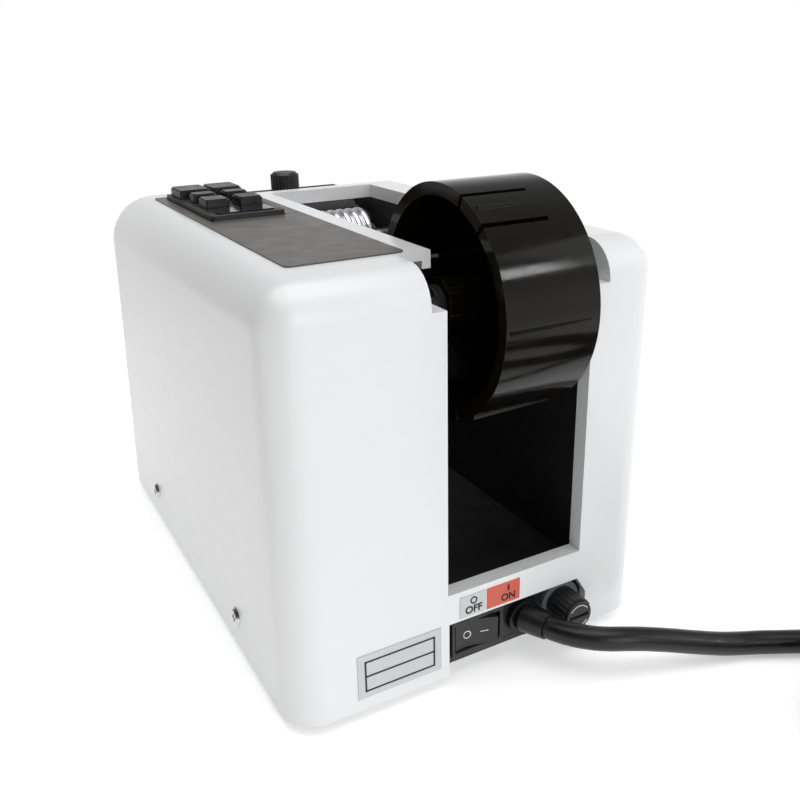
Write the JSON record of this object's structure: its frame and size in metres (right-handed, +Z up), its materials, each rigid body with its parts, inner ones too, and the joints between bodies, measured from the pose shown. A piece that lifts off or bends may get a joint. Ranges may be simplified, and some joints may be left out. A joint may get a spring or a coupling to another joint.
{
  "type": "electric tape dispenser",
  "caption": "Desk machine that feeds adhesive tape from an open drum over rollers and cuts it to length, in a rounded white case with keypad, rocker switch, fuse and mains lead.",
  "frame": {"origin": "centre of the floor area under the object without its mains lead, at floor height", "axes": "+X to the operator's right, +Y to the rear where the drum is, +Z up"},
  "size_m": [0.2384, 0.3825, 0.1602],
  "materials": {
    "white_abs": "smooth gloss moulding",
    "black_abs": "fine satin moulding",
    "drum_abs": "polished moulding",
    "plate_grey": "satin printed plate",
    "label_grey": "satin foil label",
    "label_red": "satin foil label",
    "screen": "clear dark window",
    "key_rubber": "satin keycap",
    "steel": "ground bar",
    "roller_alloy": "turned",
    "blade_steel": "ground",
    "black_steel": "fine powder coat",
    "rubber": "matt",
    "motor_steel": "zinc plate",
    "bronze": "sintered",
    "board": "solder mask",
    "cord_pvc": "satin sheath",
    "fuse_grey": "moulded"
  },
  "bodies": {
    "case": {"housing": "white_abs", "base_plate": "motor_steel", "feet": "rubber", "case_screws": "steel", "rear_panel": "black_abs", "right_frame": "black_steel", "left_frame": "black_steel", "bay_floor": "black_steel", "frame_spacers": "steel", "name_plate": "plate_grey", "rating_plate": "label_grey", "off_label": "label_grey", "on_label": "label_red", "keypad_frame": "black_abs", "display_window": "screen", "control_board": "board", "transformer": "motor_steel", "feed_motor": "motor_steel", "motor_bracket": "steel", "drive_belt": "rubber", "feed_bushes": "bronze", "guide_shaft": "steel", "guide_collars": "black_abs", "arm_pivot": "steel", "outlet_plate": "black_steel", "fixed_blade": "blade_steel", "guide_posts": "steel", "cutter_motor": "motor_steel", "front_cover": "black_abs", "switch_body": "black_abs", "fuse_holder": "fuse_grey", "cord_gland": "cord_pvc", "power_cord": "cord_pvc", "cord_coil": "cord_pvc", "plug_body": "cord_pvc", "plug_prongs": "steel"},
    "reel_axle": {"wheel_axle": "steel", "axle_collars": "black_abs"},
    "reel": {"tape_wheel": "drum_abs"},
    "guide": {"guide_roller": "roller_alloy"},
    "feed": {"feed_roller": "rubber", "feed_shaft": "steel", "roller_pulley": "black_abs"},
    "motor_drive": {"motor_pulley": "black_abs"},
    "arm": {"pressure_arm": "black_steel", "pressure_shaft": "steel", "pressure_knob": "black_abs"},
    "press": {"pressure_roller": "rubber"},
    "blade": {"moving_blade": "blade_steel", "blade_carrier": "motor_steel"},
    "crank": {"crank_disc": "motor_steel"},
    "rocker": {"switch_rocker": "black_abs"},
    "fuse_screw": {"fuse_cap": "black_abs"},
    "button_1": {"key_1": "key_rubber"},
    "button_2": {"key_2": "key_rubber"},
    "button_3": {"key_3": "key_rubber"},
    "button_4": {"key_4": "key_rubber"},
    "button_5": {"key_5": "key_rubber"},
    "button_6": {"key_6": "key_rubber"}
  },
  "joints": [
    {"name": "axle_lift_out", "type": "slide", "parent": "case", "child": "reel_axle", "axis": [0, 0.7431, 0.6691], "range_m": [0, 0.06]},
    {"name": "reel_spin", "type": "hinge", "parent": "reel_axle", "child": "reel", "pos_m": [-0.017, 0.07175, 0.1227], "axis": [1, 0, 0], "continuous": true},
    {"name": "guide_spin", "type": "hinge", "parent": "case", "child": "guide", "pos_m": [-0.01, -0.038, 0.122], "axis": [1, 0, 0], "continuous": true},
    {"name": "feed_spin", "type": "hinge", "parent": "case", "child": "feed", "pos_m": [-0.01345, -0.07, 0.105], "axis": [1, 0, 0], "continuous": true},
    {"name": "motor_spin", "type": "hinge", "parent": "case", "child": "motor_drive", "pos_m": [0.024, -0.04, 0.07], "axis": [1, 0, 0], "continuous": true},
    {"name": "arm_lift", "type": "hinge", "parent": "case", "child": "arm", "pos_m": [-0.01345, -0.0575, 0.126], "axis": [-1, 0, 0], "range_deg": [0, 28]},
    {"name": "press_spin", "type": "hinge", "parent": "arm", "child": "press", "pos_m": [-0.01345, -0.07, 0.1254], "axis": [1, 0, 0], "continuous": true},
    {"name": "blade_lift", "type": "slide", "parent": "case", "child": "blade", "axis": [0, 0, 1], "range_m": [0, 0.009]},
    {"name": "crank_turn", "type": "hinge", "parent": "case", "child": "crank", "pos_m": [-0.01345, -0.093, 0.077], "axis": [0, -1, 0], "range_deg": [0, 60]},
    {"name": "power_rocker", "type": "hinge", "parent": "case", "child": "rocker", "pos_m": [0.0001, 0.09255, 0.01435], "axis": [0, 0, 1], "range_deg": [0, 20]},
    {"name": "fuse_turn", "type": "hinge", "parent": "case", "child": "fuse_screw", "pos_m": [-0.0345, 0.1, 0.0145], "axis": [0, 1, 0], "range_deg": [0, 90]},
    {"name": "key_1_press", "type": "slide", "parent": "case", "child": "button_1", "axis": [0, 0, -1], "range_m": [0, 0.0012], "stiffness_N_per_m": 400, "springref_m": -0.0005},
    {"name": "key_2_press", "type": "slide", "parent": "case", "child": "button_2", "axis": [0, 0, -1], "range_m": [0, 0.0012], "stiffness_N_per_m": 400, "springref_m": -0.0005},
    {"name": "key_3_press", "type": "slide", "parent": "case", "child": "button_3", "axis": [0, 0, -1], "range_m": [0, 0.0012], "stiffness_N_per_m": 400, "springref_m": -0.0005},
    {"name": "key_4_press", "type": "slide", "parent": "case", "child": "button_4", "axis": [0, 0, -1], "range_m": [0, 0.0012], "stiffness_N_per_m": 400, "springref_m": -0.0005},
    {"name": "key_5_press", "type": "slide", "parent": "case", "child": "button_5", "axis": [0, 0, -1], "range_m": [0, 0.0012], "stiffness_N_per_m": 400, "springref_m": -0.0005},
    {"name": "key_6_press", "type": "slide", "parent": "case", "child": "button_6", "axis": [0, 0, -1], "range_m": [0, 0.0012], "stiffness_N_per_m": 400, "springref_m": -0.0005}
  ],
  "couplings": [
    {"joint": "motor_spin", "follows": "feed_spin", "ratio": 1.5},
    {"joint": "crank_turn", "follows": "blade_lift", "rad_per_m": 116.3}
  ]
}
